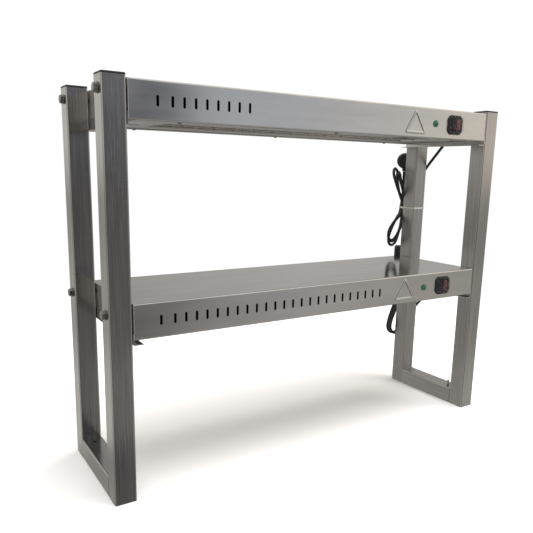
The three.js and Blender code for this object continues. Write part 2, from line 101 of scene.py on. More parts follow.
def material(name, **sockets):
    """A new material with one Principled shader, whose sockets are set by name."""
    made = bpy.data.materials.new(name)
    made.use_nodes = True
    shader = made.node_tree.nodes["Principled BSDF"]
    for key, value in sockets.items():
        shader.inputs[key.replace("_", " ")].default_value = value
    return made, made.node_tree, shader


def stretched_noise(tree, sizes, detail=2.0):
    """Noise on object coordinates, with grains of these sizes in mm along X, Y and Z, or of
    one size all round."""
    place = add(tree, "TexCoord")
    scale = (1 / (np.broadcast_to(sizes, 3) * MM)).tolist()
    mapped = add(tree, "Mapping", {"Vector": place.outputs["Object"], "Scale": scale})
    links = {"Vector": mapped.outputs[0], "Scale": 1.0, "Detail": detail}
    return add(tree, "TexNoise", links).outputs["Fac"]


def spread(tree, value, low, high):
    """A value from 0.25 to 0.75, as most noise is, spread from low to high."""
    links = {"Value": value, "From Min": 0.25, "From Max": 0.75, "To Min": low, "To Max": high}
    return add(tree, "MapRange", links).outputs[0]


def roughened(tree, shader, value, low, high):
    tree.links.new(spread(tree, value, low, high), shader.inputs["Roughness"])


def bumped(tree, shader, value, height_mm, strength=1.0):
    """A bump whose full height is given in millimetres."""
    links = {"Height": value, "Distance": height_mm * MM, "Strength": strength}
    bump = add(tree, "Bump", links)
    tree.links.new(bump.outputs[0], shader.inputs["Normal"])


def blended(tree, factor, a, b, blend="MIX"):
    """Two colours mixed. A mix node's colours are its inputs 6 and 7 and its output 2."""
    inputs = {"Factor": factor, 6: a, 7: b}
    return add(tree, "Mix", inputs, data_type="RGBA", blend_type=blend).outputs[2]


def tinted(tree, shader, value, dark, light):
    """Base colour that runs between two hex colours with a value from 0.25 to 0.75."""
    colour = blended(tree, spread(tree, value, 0, 1), linear(dark), linear(light))
    tree.links.new(colour, shader.inputs["Base Color"])


def finished(name, colours, patch, grain, rough, bump=0.0, detail=2.0, **sockets):
    """A material whose colour drifts between two hex colours over patches of one size in
    mm, and whose roughness, and bump if it has one, follow a grain of another size."""
    made, tree, shader = material(name, **sockets)
    tinted(tree, shader, stretched_noise(tree, patch), *colours)
    noise = stretched_noise(tree, grain, detail)
    roughened(tree, shader, noise, *rough)
    if bump:
        bumped(tree, shader, noise, bump)
    return made


PVC = finished(
    "extruded PVC", ("#121214", "#1c1c1e"), 30, (0.7, 0.7, 6), (0.36, 0.52), 0.05,
    detail=3, Specular_IOR_Level=0.5,
)

# In mm, from the gland to the plug. A fold's end is its centre, its radius, and its turn
# out of the hank's plane in degrees. Each turn of cord has its own shift of a fold along X
# and Z. The first run starts at a share of its way from the tie to the fold.
ROUTES = {
    "upper": {
        "lead": [
            (427.9, 0, 667), (434, 0.6, 666.4), (440.5, 2.4, 664.4), (446, 5.2, 661),
            (450.2, 9, 657.4), (452.8, 13.2, 652.8), (453.7, 18, 647.7),
            (453.8, 34, 631), (453.8, 52, 612), (453.8, 68, 595), (454.2, 82, 580),
            (455.6, 94, 567.5), (456.2, 104, 557), (456, 112.5, 548),
            (453.8, 119.9, 540), (449.4, 125.3, 532.5), (443.6, 127.6, 525.5),
        ],
        "hank": {
            "waist": (431.3, 133, 472),
            "bottom": (397.5, 134, 396, 22.5, 17),
            "top": (395, 135, 550, 22, 28),
            "shifts": [(-7, 12), (0, 8), (7, -3)],
            "top_shift": (17, -9),
            "first_share": 0.12,
        },
        "into_hank": [[(439, 128, 516.5), (436.4, 127.4, 504), (435.2, 126.4, 489)]],
        "plug_lead": [
            (436.4, 145.4, 523), (437, 146.4, 532), (437, 147.2, 543),
            (436.8, 147.5, 554), (436.7, 147.5, 564.6),
        ],
    },
    "lower": {
        "lead": [
            (427.9, 0, 319), (434, 0.6, 318.4), (440.5, 2.4, 316.4), (446, 5.2, 313),
            (450.2, 9, 309.4), (452.8, 13.2, 304.8), (453.7, 18, 299.7),
            (453.8, 33, 280), (453.8, 50, 258), (453.8, 66, 237.5), (454.2, 80, 221),
            (455.6, 92, 208), (456.2, 103, 197), (456, 112, 186.5), (454, 119.8, 176.5),
            (450.6, 125.2, 168),
        ],
        "hank": {
            "waist": (432.5, 133, 232),
            "bottom": (425, 133, 148.5, 22.5, 0),
            "top": (426, 133, 289, 22.5, 0),
            "shifts": [(-2, 2), (0, 1), (1, 0)],
            "top_shift": (0, 0),
            "first_share": 1.0,
        },
        "into_hank": [],
        "plug_lead": [
            (433, 149.2, 243), (434, 149.4, 262), (435.4, 149.2, 282), (436, 149, 302),
            (436, 149, 320.6),
        ],
    },
}


def fold_frame(waist, end, share=1.0):
    """The directions out of the tie and across, as unit rows: a fold leans away from its
    tie as far as its centre lies beside it, and its width turns out of the plane."""
    lean = np.arctan(1.1 * (end[0] - waist[0]) / (end[2] - waist[2])) * share
    turn = np.radians(end[4]) * share
    ahead = np.stack([np.sin(lean), 0 * lean, np.cos(lean)], -1) * np.sign(end[2] - waist[2])
    flat = np.cos(turn)
    across = np.stack([np.cos(lean) * flat, np.sin(turn), -np.sin(lean) * flat], -1)
    return ahead, across


def run(waist, end, side, layer, shares):
    """One run of a hank between its tie and a fold: its middle line leans to the fold's
    centre, and it swings out from the bunch to the fold's radius along a smooth step."""
    share = np.asarray(shares, float)[:, None]
    ease = share * share * (3 - 2 * share)
    middle = np.array(waist) + (np.array(end[:3]) - waist) * share ** (1.1, 1, 1)
    out = side * (BUNCH + (end[3] - BUNCH) * ease)
    return middle + out * fold_frame(waist, end, ease[:, 0])[1] + (0, layer, 0)


def fold(waist, end, side, layers):
    """A half circle from one side of a fold to the other, changing layer on the way."""
    angle = np.radians(np.arange(30, 151, 30))[:, None]
    ahead, across = fold_frame(waist, end, np.float64(1))
    depth = np.interp(angle, [0, np.pi], layers) * (0, 1, 0)
    circle = side * np.cos(angle) * across + np.sin(angle) * ahead
    return end[:3] + end[3] * circle + depth


def hank(waist, bottom, top, shifts, top_shift, first_share):
    """Three turns of cord: down the right column, round the bottom, up the left, and
    round the top into the next layer back."""
    away = np.array([0.12, 0.34, 0.56, 0.78, 1.0])
    parts = []
    for turn, (dx, dz) in enumerate(shifts):
        layer = (turn - 1) * LAYER
        low = (bottom[0] + dx, bottom[1], bottom[2] + dz, *bottom[3:])
        high = (top[0] + top_shift[0] * turn, top[1], top[2] + top_shift[1] * turn, *top[3:])
        down = away if turn else away[away >= first_share]
        parts += [
            run(waist, low, 1, layer, down),
            fold(waist, low, 1, [layer, layer]),
            run(waist, low, -1, layer, away[::-1]),
        ]
        if turn < len(shifts) - 1:
            parts += [
                run(waist, high, -1, layer, away),
                fold(waist, high, -1, [layer, layer + LAYER]),
                run(waist, high, 1, layer + LAYER, away[::-1]),
            ]
    return np.concatenate(parts)


def smooth_line(points, steps=6):
    """A Catmull-Rom curve through the points: on each span, the cubic whose ends are the
    two points and whose slopes there are half the step between their neighbours."""
    p = np.vstack([2 * points[0] - points[1], points, 2 * points[-1] - points[-2]])
    t = np.linspace(0, 1, steps, endpoint=False)[:, None, None]
    a, b, c, d = p[:-3], p[1:-2], p[2:-1], p[3:]
    curve = 0.5 * (
        2 * b
        + (c - a) * t
        + (2 * a - 5 * b + 4 * c - d) * t**2
        + (3 * b - a - 3 * c + d) * t**3
    )
    return np.vstack([curve.transpose(1, 0, 2).reshape(-1, 3), points[-1]])


cords, cord_lines = {}, {}
for tier in TIERS:
    route = ROUTES[tier]
    lead = np.array(route["lead"], float)
    tail = np.array(route["plug_lead"], float)
    line = smooth_line(np.vstack([lead, *route["into_hank"], hank(**route["hank"]), tail]))
    cord_lines[tier] = line
    curve = bpy.data.curves.new(f"{tier}_cord", "CURVE")
    curve.dimensions = "3D"
    curve.bevel_depth = CORD / 2 * MM
    curve.bevel_resolution = 4
    curve.use_fill_caps = True
    spline = curve.splines.new("POLY")
    spline.points.add(len(line) - 1)
    spline.points.foreach_set("co", np.column_stack([line * MM, np.ones(len(line))]).ravel())
    spline.use_smooth = True
    cord = bpy.data.objects.new(f"{tier}_cord", curve)
    bpy.context.scene.collection.objects.link(cord)
    curve.materials.append(PVC)
    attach(cord, "warmer")
    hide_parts(f"{tier}_cord_lead", f"{tier}_cord_hank", f"{tier}_plug_lead")
    cords[tier] = cord

# ---- legs: uprights and base bars ---------------------------------------------------
# Square stainless tube, 38 mm with 1.5 mm walls and small outer radii, polished along its
# length. Three tubes make each leg, and fine welds run round the two lower joints.
SIDES = ("left", "right")
ENDS = ("front", "rear")
WALL = 1.5
CORNER = 2.6
CREASE = 32  # degrees: a sharper edge than this is shaded sharp


def box_mm(node):
    """The lowest and highest corners of a CAD node, in millimetres."""
    return np.array([list(corner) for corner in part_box(node)]) / MM


def loft(rings, ring_closed=False):
    """Rows of points joined point by point into quads. Each row closes on itself. The two
    end rows are filled, or joined to each other."""
    rings = np.asarray(rings, float)
    rows, across = rings.shape[:2]
    i, j = np.meshgrid(np.arange(rows if ring_closed else rows - 1), np.arange(across))
    i, j = i.ravel(), j.ravel()
    k, n = (j + 1) % across, (i + 1) % rows
    quads = np.stack([i * across + j, i * across + k, n * across + k, n * across + j], 1)
    last = np.arange(across)[None] + (rows - 1) * across
    ends = [] if ring_closed else [np.arange(across)[None, ::-1], last]
    return rings.reshape(-1, 3), [quads, *ends]


def piece(name, shells, finish, stands_for=(), body="warmer", crease=CREASE, closed=True):
    """A mesh object of one or more shells given in millimetres, riding on a body. Edges
    that turn more than the crease angle, in degrees, are sharp."""
    points, faces, start = [], [], 0
    for shell_points, arrays in shells:
        points.append(shell_points)
        for array in arrays:
            faces += (array + start).tolist()
        start += len(shell_points)
    mesh = bpy.data.meshes.new(name)
    mesh.from_pydata((np.concatenate(points) * MM).tolist(), [], faces)
    if closed:
        edit = bmesh.new()
        edit.from_mesh(mesh)
        bmesh.ops.recalc_face_normals(edit, faces=edit.faces)
        edit.to_mesh(mesh)
        edit.free()
    mesh.shade_smooth()
    mesh.set_sharp_from_angle(angle=np.radians(crease))
    for each in finish if isinstance(finish, list) else [finish]:
        mesh.materials.append(each)
    made = bpy.data.objects.new(name, mesh)
    bpy.context.scene.collection.objects.link(made)
    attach(made, body)
    if stands_for:
        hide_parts(*stands_for)
    return made


def rounded_rectangle(half_a, half_b, radius, steps=5, hold=0.35):
    """The outline of a rectangle whose corners are quarter circles. A point just off each
    end of an arc keeps the flats flat when the shape is shaded smooth."""
    arc = np.linspace(0, np.pi / 2, steps + 1)
    corner = np.stack([np.cos(arc), np.sin(arc)], 1) * radius
    corner = np.vstack([corner[0] - (0, hold), corner, corner[-1] - (hold, 0)])
    a, b = half_a - radius, half_b - radius
    turns = [
        corner + (a, b),
        np.stack([-corner[:, 1], corner[:, 0]], 1) + (-a, b),
        -corner - (a, b),
        np.stack([corner[:, 1], -corner[:, 0]], 1) + (a, -b),
    ]
    return np.concatenate(turns)


def along(outline, axis, places):
    """Copies of a flat outline at places along an axis: 0 is X, 1 is Y and 2 is Z."""
    rings = np.zeros((len(places), len(outline), 3))
    others = [i for i in range(3) if i != axis]
    rings[:, :, others] = outline
    rings[:, :, axis] = np.asarray(places, float)[:, None]
    return rings


def square_tube(axis, centre, low, high, side):
    """A hollow square tube: its outer skin, its end rims, and its inner skin back again."""
    outer = rounded_rectangle(side / 2, side / 2, CORNER)
    soft = rounded_rectangle(side / 2 - 0.3, side / 2 - 0.3, CORNER - 0.3)
    inner = rounded_rectangle(side / 2 - WALL, side / 2 - WALL, CORNER - WALL)
    skins = [
        along(soft, axis, [low]),
        along(outer, axis, [low + 0.3, low + 1, high - 1, high - 0.3]),
        along(soft, axis, [high]),
        along(inner, axis, [high, high - 1, low + 1, low]),
    ]
    return loft(np.concatenate(skins) + centre, ring_closed=True)


def polished_steel(name, colours, grain, streak, rough, wave=0.0, depth=0.004):
    """Stainless steel: chromium makes it a neutral grey, and polishing along one way leaves
    a drawn grain finer than 1 mm, drawn coarser here so that it shows, and wider streaks."""
    made, tree, shader = material(name, Metallic=1.0)
    tinted(tree, shader, stretched_noise(tree, streak, detail=4), *colours)
    lines = stretched_noise(tree, grain, detail=4)
    cloud = stretched_noise(tree, streak, detail=3)
    mixed = add(tree, "Math", {0: lines, 1: cloud}, operation="ADD").outputs[0]
    halved = add(tree, "Math", {0: mixed, 1: 0.5}, operation="MULTIPLY").outputs[0]
    roughened(tree, shader, halved, *rough)
    height = lines
    if wave:
        sheet = stretched_noise(tree, [4 * s for s in streak], detail=0)
        raised = add(tree, "Math", {0: sheet, 1: wave / depth}, operation="MULTIPLY").outputs[0]
        height = add(tree, "Math", {0: lines, 1: raised}, operation="ADD").outputs[0]
    bumped(tree, shader, height, depth)
    return made


TUBE_COLOURS = ("#9c9a98", "#b2b0ae")
UPRIGHT_STEEL = polished_steel(
    "polished stainless tube", TUBE_COLOURS, (1.2, 1.2, 90), (4, 4, 140), (0.09, 0.17), 0.03, 0.12
)
BRUSHED_TUBE = polished_steel(
    "brushed stainless tube", TUBE_COLOURS, (1.2, 1.2, 90), (4, 4, 140), (0.36, 0.46), 0.03, 0.08
)
BAR_STEEL = polished_steel(
    "polished stainless bar", TUBE_COLOURS, (1.2, 90, 1.2), (4, 140, 4), (0.09, 0.17), 0.03, 0.12
)
WELD_STEEL = finished(
    "brushed weld", ("#8f8c88", "#b2b0ae"), 5, 1.4, (0.25, 0.4), 0.05, Metallic=1.0
)

base_bars = {}
for side in SIDES:
    for end in ENDS:
        node = f"{side}_{end}_upright"
        low, high = box_mm(node)
        middle = (low + high) / 2 * (1, 1, 0)
        tube = square_tube(2, middle, low[2], high[2], high[0] - low[0])
        # the one behind the hank is duller, so that the hank doesn't show twice
        finish = BRUSHED_TUBE if node == "right_rear_upright" else UPRIGHT_STEEL
        piece(f"{node}_tube", [tube], finish, [node])
    node = f"{side}_base_bar"
    low, high = box_mm(node)
    middle = (low + high) / 2 * (1, 0, 1)
    tube = square_tube(1, middle, low[1], high[1], high[0] - low[0])
    base_bars[side] = piece(f"{node}_tube", [tube], BAR_STEEL, [node])

    # the welds: a low bead round the bar where it meets each upright, kept off the floor
    beads = []
    for y in (low[1], high[1]):
        angle = np.linspace(0, 2 * np.pi, 8, endpoint=False)
        rings = [
            along(rounded_rectangle(a, a, CORNER, 4), 1, [b])[0]
            for a, b in zip(18.85 + 0.4 * np.cos(angle), y + 1.1 * np.sin(angle))
        ]
        rings = np.array(rings) + middle
        rings[..., 2] = np.maximum(rings[..., 2], 0.02)
        beads.append(loft(rings, ring_closed=True))
    piece(f"{side}_base_welds", beads, WELD_STEEL)

# ---- end caps -----------------------------------------------------------------------
# Black polyethylene caps pushed into the tops of the uprights. Injection moulded, so the
# rim has a soft edge and the top a fine spark-eroded grain.
CAP_PLASTIC = finished(
    "moulded polyethylene", ("#1b1b1d", "#252527"), 14, 0.8, (0.42, 0.6), 0.06,
    detail=3, Specular_IOR_Level=0.45,
)

for side in SIDES:
    for end in ENDS:
        node = f"{side}_{end}_end_cap"
        low, high = box_mm(node)
        middle = (low + high) / 2 * (1, 1, 0)
        half = (high[0] - low[0]) / 2
        top, rim = high[2], high[2] - 2.7
        # (inset from the tube's face, height), from the plug's foot to the crown
        profile = [(2.4, low[2]), (1.9, low[2] + 2), (1.9, rim), (0, rim), (0, top - 1.2)]
        profile += [
            (1.2 - 1.2 * np.cos(a), top - 1.2 + 1.2 * np.sin(a))
            for a in np.radians([22, 45, 68, 90])
        ]
        profile += [(5, top), (6, top - 0.25), (9, top - 0.3)]
        rings = [
            along(rounded_rectangle(half - i, half - i, max(CORNER - i, 0.6)), 2, [z])[0]
            for i, z in profile
        ]
        cap = loft(np.array(rings) + middle)
        piece(f"{node}_moulding", [cap], CAP_PLASTIC, [node])

# ---- shelf boxes: folded casings ----------------------------------------------------
# One 1.2 mm sheet of bright stainless steel is folded over each box: lip, front, top,
# rear, lip. The front is punched with louvre slots, a switch opening and a lamp hole.
# Bright rolled sheet is close to a mirror, with a slight wave left by folding.
SHEET = 1.2
BEND = 2.2
LIP = 20.0
FRONT_CENTRE = 30.5  # slots, switch and lamp above the box's underside
SLOT = (4.6, 17.4)
SLOT_COUNTS = {"upper": 9, "lower": 25}
MARK_X = 193.5


def folded(corners, radius, thickness, steps=6, hold=0.5):
    """The cut edge of a folded sheet: a middle line whose corners are arcs of one radius,
    moved half the thickness to each side. A point just off each arc keeps flats flat."""
    corners = np.array(corners, float)
    points = [corners[:1]]
    normals = []
    for a, b, c in zip(corners, corners[1:], corners[2:]):
        u = (b - a) / np.linalg.norm(b - a)
        v = (c - b) / np.linalg.norm(c - b)
        turn = np.arctan2(u[0] * v[1] - u[1] * v[0], u @ v)
        reach = radius * np.tan(abs(turn) / 2)
        n = np.array([-u[1], u[0]])
        angles = np.linspace(0, turn, steps + 1)
        spun = np.stack(
            [
                n[0] * np.cos(angles) - n[1] * np.sin(angles),
                n[0] * np.sin(angles) + n[1] * np.cos(angles),
            ],
            1,
        )
        centre = b - u * reach + np.sign(turn) * n * radius
        arc = centre - np.sign(turn) * spun * radius
        points += [b - u * (reach + hold), arc, b + v * (reach + hold)]
        normals += [*([n[None]] if normals else [n[None], n[None]]), spun, spun[-1:]]
    points.append(corners[-1:])
    normals.append(normals[-1][-1:])
    points = np.vstack(points)
    normals = np.vstack(normals)
    offset = normals * thickness / 2
    return np.vstack([points + offset, (points - offset)[::-1]])


SHEET_STEEL = polished_steel(
    "bright stainless sheet", ("#bbbab8", "#c7c6c3"), (90, 1.2, 1.2), (110, 16, 16), (0.1, 0.17), 0.05
)
# painted shade: an unpolished sheet coloured near black, standing in for the shade inside each box
INNER_SHADE_STEEL = finished(
    "unpolished sheet painted dark as shade", ("#2c2a28", "#3a3835"), (40, 8, 8), 3, (0.55, 0.75), Metallic=0.6
)


def stadium(x, z, width, height, y0, y1, steps=6):
    """A slot's punch: a rectangle with half-round ends, drawn through the front."""
    r = width / 2
    a = np.linspace(0, np.pi, steps + 1)
    top = np.stack([r * np.cos(a), height / 2 - r + r * np.sin(a)], 1)
    outline = np.vstack([top, -top]) + (x, z)
    return loft(along(outline, 1, [y0, y1]))


def cut_away(target, shells):
    """Takes the shells out of a piece with an exact boolean, and applies it."""
    cutter = piece("cutter", shells, SHEET_STEEL)
    modifier = target.modifiers.new("punched", "BOOLEAN")
    modifier.object = cutter
    modifier.solver = "EXACT"
    bpy.context.view_layer.update()
    graph = bpy.context.evaluated_depsgraph_get()
    mesh = bpy.data.meshes.new_from_object(target.evaluated_get(graph))
    target.modifiers.clear()
    target.data = mesh
    mesh.shade_smooth()
    mesh.set_sharp_from_angle(angle=np.radians(CREASE))
    bpy.data.objects.remove(cutter)


def swept_ring(path, normal_axis, section):
    """A closed path's bead: the section's first number goes out across the path, and its
    second along the axis that the path lies square to."""
    path = np.asarray(path, float)
    ahead = np.roll(path, -1, 0) - np.roll(path, 1, 0)
    ahead /= np.linalg.norm(ahead, axis=1)[:, None]
    up = np.eye(3)[normal_axis]
    out = np.cross(ahead, up)
    section = np.asarray(section, float)
    rings = path[:, None] + out[:, None] * section[None, :, :1] + up * section[None, :, 1:]
    return loft(rings, ring_closed=True)


def rounded_corners(corners, radius, steps=5):
    """A closed outline whose corners are short curves between its sides."""
    corners = np.array(corners, float)
    before = np.roll(corners, 1, 0) - corners
    after = np.roll(corners, -1, 0) - corners
    before *= radius / np.linalg.norm(before, axis=1)[:, None]
    after *= radius / np.linalg.norm(after, axis=1)[:, None]
    s = np.linspace(0, 1, steps + 1)[None, :, None]
    points = corners[:, None] + before[:, None] * (1 - s) ** 2 + after[:, None] * s**2
    return points.reshape(-1, 2)


casing_boxes = {}
for tier in TIERS:
    node = f"{tier}_casing"
    low, high = box_mm(node)
    casing_boxes[tier] = (low, high)
    half, bottom, top = high[1], low[2], high[2]
    t = SHEET / 2
    outline = folded(
        [
            (-half + LIP, bottom + t), (-half + t, bottom + t), (-half + t, top - t),
            (half - t, top - t), (half - t, bottom + t), (half - LIP, bottom + t),
        ],
        BEND,
        SHEET,
    )
    sheet = loft(along(outline, 0, [low[0], high[0]]))
    # the second finish is the painted shade of the inner face
    faces = [SHEET_STEEL, INNER_SHADE_STEEL]
    casing = piece(f"{node}_sheet", [sheet], faces, [node])

    centre = bottom + FRONT_CENTRE
    punches = [
        stadium(-362.5 if i == 0 else -337.5 + 20 * (i - 1), centre, *SLOT, -half - 3, -half + 3)
        for i in range(SLOT_COUNTS[tier])
    ]
    s_low, s_high = box_mm(f"{tier}_switch_body")
    switch_x = (s_low[0] + s_high[0]) / 2
    p_low, p_high = box_mm(f"{tier}_pilot_lamp")
    lamp_x = (p_low[0] + p_high[0]) / 2
    opening = rounded_rectangle(14.5, 13, 0.8, 2) + (switch_x, centre)
    punches.append(loft(along(opening, 1, [-half - 3, -half + 3])))
    punches.append(stadium(lamp_x, centre, 10.4, 10.4, -half - 3, -half + 3, 12))
    cut_away(casing, punches)

    # the inner face is unpolished and painted dark: painted shade for the inside of the box, seen through
    # the slots
    middles = np.zeros(len(casing.data.polygons) * 3)
    casing.data.polygons.foreach_get("center", middles)
    y, z = middles.reshape(-1, 3)[:, 1:].T / MM
    inner = (np.abs(y) < half - 1) & (z > bottom + 1) & (z < top - 1)
    casing.data.polygons.foreach_set("material_index", inner.astype(np.int32))

    # the pressed mark: a plain raised triangle, the same on both boxes
    base, apex = bottom + 10.5, bottom + 53
    flat = rounded_corners([(MARK_X - 27, base), (MARK_X + 28, base), (MARK_X, apex)], 6, 8)
    ring = np.column_stack([flat[:, 0], np.full(len(flat), -half), flat[:, 1]])
    a = np.linspace(0, np.pi, 17)
    bead = np.stack([-3.4 * np.cos(a), 0.05 - 1.35 * np.sin(a) ** 1.3], 1)
    bead = np.vstack([bead, [(3.5, 0.6), (-3.5, 0.6)]])
    mark = swept_ring(ring, 1, bead)
    piece(f"{tier}_pressed_mark", [mark], SHEET_STEEL, crease=60)

# ---- end plates and support angles --------------------------------------------------
# A flanged plate of brushed sheet closes each end of a box. Under it, a small folded
# angle screwed to the leg carries the box until its bolts are in.
PLATE_STEEL = polished_steel(
    "brushed stainless sheet", ("#d2d0cc", "#e0deda"), (1.2, 90, 1.2), (8, 110, 8), (0.3, 0.4)
)
for tier in TIERS:
    for side, s in zip(SIDES, (-1, 1)):
        node = f"{tier}_{side}_end_plate"
        low, high = box_mm(node)
        face = high[0] if s > 0 else low[0]
        half_y, half_z = (high[1] - low[1]) / 2, (high[2] - low[2]) / 2
        middle = np.array([0, 0, (low[2] + high[2]) / 2])
        # (inset, depth behind the outer face), from the middle of the face to the inside
        profile = [(8, 0), (1, 0), (0.5, 0), (0.2, 0.1), (0, 0.3), (0, 0.8), (0, 1.5), (1.5, 1.5)]
        profile += [(1.5, 15.5), (2.7, 15.5), (2.7, 2.2), (12, 2.2)]
        rings = [
            along(rounded_rectangle(half_y - i, half_z - i, max(3 - i, 0.8)), 0, [face - s * d])[0]
            for i, d in profile
        ]
        plate = loft(np.array(rings) + middle)
        piece(f"{node}_sheet", [plate], PLATE_STEEL, [node])

        node = f"{tier}_{side}_support_angle"
        low, high = box_mm(node)
        out, deep = (high[0], low[0]) if s > 0 else (low[0], high[0])
        thick = 1.5
        h = thick / 2
        edge = folded(
            [(out - s * h, high[2]), (out - s * h, low[2] + h), (deep, low[2] + h)], 2, thick
        )
        angle = loft(along(edge, 1, [low[1], high[1]]))
        piece(f"{node}_sheet", [angle], SHEET_STEEL, [node])

# ---- reflector pans -----------------------------------------------------------------
# The underside of each box is a bright sheet with a long trough pressed up behind the
# lamp, so that the heat goes down. Handling and heat have taken the edge off its polish.
# Screws through the lips hold it.
TROUGH = (320.0, 52.0, 20.0, 34.5)  # half length, half mouth, half crown, height

MIRROR_STEEL = polished_steel(
    "mirror stainless sheet", ("#c4c3c0", "#cecdca"), (90, 1.6, 1.6), (110, 30, 30), (0.26, 0.36)
)
SCREW_STEEL = finished(
    "plain stainless screw", ("#85837f", "#a5a39e"), 6, 1, (0.08, 0.16), Metallic=1.0
)


def trough_height(x, y):
    """Height of the pressed sheet: the lesser of two ramps, one up each long side and one
    up each end, each averaged over 3 mm so that its bends are round."""
    half_length, mouth, crown, height = TROUGH
    soft = np.linspace(-1.5, 1.5, 9)
    side = np.clip((mouth - np.abs(y[..., None] + soft)) / (mouth - crown), 0, 1).mean(-1)
    end = np.clip((half_length - np.abs(x[..., None] + soft)) / 2.5, 0, 1).mean(-1)
    return height * np.minimum(side, end)


def turned(profile, centre, axis, sides=40, hexagon=None):
    """A profile of (distance along the axis, radius) turned about it. With a hexagon, no
    point lies outside one of that width across its flats."""
    profile = np.array(profile, float)
    angle = np.linspace(0, 2 * np.pi, sides, endpoint=False)
    radius = np.repeat(profile[:, 1:], sides, 1)
    if hexagon:
        sector = (angle + np.pi / 6) % (np.pi / 3) - np.pi / 6
        radius = np.minimum(radius, hexagon / 2 / np.cos(sector))
    u, v, w = (np.eye(3)[(axis + i) % 3] for i in (1, 2, 0))
    rings = (
        np.asarray(centre, float)
        + profile[:, :1, None] * w
        + (radius * np.cos(angle))[..., None] * u
        + (radius * np.sin(angle))[..., None] * v
    )
    return loft(rings)


for tier in TIERS:
    node = f"{tier}_reflector_pan"
    low, high = box_mm(node)
    half_x, half_y = high[0], high[1]
    near = np.array([-4, -2.5, -1.5, -0.8, 0, 0.8, 1.5, 2.5, 4])
    xs = [-half_x, half_x]
    ys = [-half_y, half_y, 0]
    for s in (-1, 1):
        xs += (s * (TROUGH[0] - 1.2) + near * 1.2).tolist()
        ys += (s * TROUGH[1] + near).tolist() + (s * TROUGH[2] + near).tolist()
    xs += np.linspace(-300, 300, 25).tolist()
    x, y = np.meshgrid(np.unique(xs), np.unique(ys), indexing="ij")
    z = low[2] + trough_height(x, y)
    rows, across = x.shape
    i, j = (a.ravel() for a in np.meshgrid(np.arange(rows - 1), np.arange(across - 1), indexing="ij"))
    first = i * across + j
    quads = np.stack([first, first + 1, first + across + 1, first + across], 1)
    shell = (np.stack([x, y, z], -1).reshape(-1, 3), [quads])
    pan = piece(f"{node}_sheet", [shell], MIRROR_STEEL, [node], closed=False, crease=50)
    wall = pan.modifiers.new("sheet", "SOLIDIFY")
    wall.thickness = SHEET * MM
    wall.offset = -1

    bottom = casing_boxes[tier][0][2]
    screws = []
    for x0 in (-320, 0, 320):
        for y0 in (-106, 106):
            head = [(6, 1.9), (0, 1.9), (-0.1, 3.6), (-0.6, 3.6), (-1.3, 3.1), (-1.8, 2.2)]
            head += [(-1.95, 1.5), (-1.2, 1.3), (-1.1, 0.2)]
            screws.append(turned(head, (x0, y0, bottom), 2, 24))
    piece(f"{tier}_pan_screws", screws, SCREW_STEEL)

# ---- heat lamps ---------------------------------------------------------------------
# A quartz tube with a coiled tungsten filament lies in the trough between two steatite
# holders. Fused quartz is clear and fire-polished; steatite is a matt off-white ceramic,
# which the plain terminal blocks are made of too.

QUARTZ, tree, shader = material(
    "fused quartz", Base_Color=linear("#f4efe9"), IOR=1.46, Transmission_Weight=0.92
)
roughened(tree, shader, stretched_noise(tree, 25), 0.03, 0.12)
TUNGSTEN, tree, shader = material("drawn tungsten", Metallic=1.0, Base_Color=linear("#5c5a58"))
roughened(tree, shader, stretched_noise(tree, 1), 0.35, 0.5)
STEATITE, tree, shader = material("steatite", IOR=1.6)
tinted(tree, shader, stretched_noise(tree, 3, detail=4), "#d8d2c4", "#eae5da")
grain = stretched_noise(tree, 0.6)
roughened(tree, shader, grain, 0.5, 0.72)
bumped(tree, shader, grain, 0.05)

for tier in TIERS:
    low, high = box_mm(f"{tier}_heat_tube")
    centre = np.array([0, 0, (low[2] + high[2]) / 2])
    half = high[0]
    profile = [(half - 12, 2.6), (half - 12.5, 3.4), (half - 15, 5.6), (half - 18, 6.5)]
    ends = [(half, 2.4), (half - 11.5, 2.4), *profile]
    tube = turned([(-a, r) for a, r in ends] + ends[::-1], centre, 0, 40)
    piece(f"{tier}_quartz_tube", [tube], QUARTZ, [f"{tier}_heat_tube"])

    turns, radius = 180, 2.1
    angle = np.linspace(0, 2 * np.pi * turns, turns * 10 + 1)
    path = np.stack(
        [np.linspace(-285, 285, len(angle)), radius * np.cos(angle), radius * np.sin(angle)], 1
    )
    out = np.stack([np.zeros_like(angle), np.cos(angle), np.sin(angle)], 1)
    ring = np.linspace(0, 2 * np.pi, 5, endpoint=False)
    side_way = np.array([1.0, 0, 0])
    rings = (
        path[:, None]
        + 0.35 * np.cos(ring)[None, :, None] * out[:, None]
        + 0.35 * np.sin(ring)[None, :, None] * side_way
    )
    piece(f"{tier}_filament", [loft(rings + centre)], TUNGSTEN)

    for side, s in zip(SIDES, (-1, 1)):
        node = f"{tier}_{side}_lamp_holder"
        low, high = box_mm(node)
        inner, outer = (low[0], high[0]) if s > 0 else (high[0], low[0])
        profile = [(inner, 3.2), (inner, 7.9), (inner + s * 0.7, 8.6), (inner + s * 9, 8.6)]
        profile += [(inner + s * 10, 7.8), (inner + s * 12, 7.8), (inner + s * 13, 8.6)]
        profile += [(outer - s * 0.7, 8.6), (outer, 7.9)]
        holder = turned(profile, centre, 0, 40)
        piece(f"{node}_ceramic", [holder], STEATITE, [node])
    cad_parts[f"{tier}_terminal_block"].data.materials.clear()
    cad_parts[f"{tier}_terminal_block"].data.materials.append(STEATITE)

# ---- wire guards --------------------------------------------------------------------
# Bright plated wire, 2.4 mm: three long rails with fifteen cross wires welded above
# them, so that nothing touches the hot tube.
WIRE = 2.4

WIRE_STEEL = finished("plated wire", ("#a9a7a3", "#c4c2be"), 8, 2, (0.14, 0.28), Metallic=1.0)


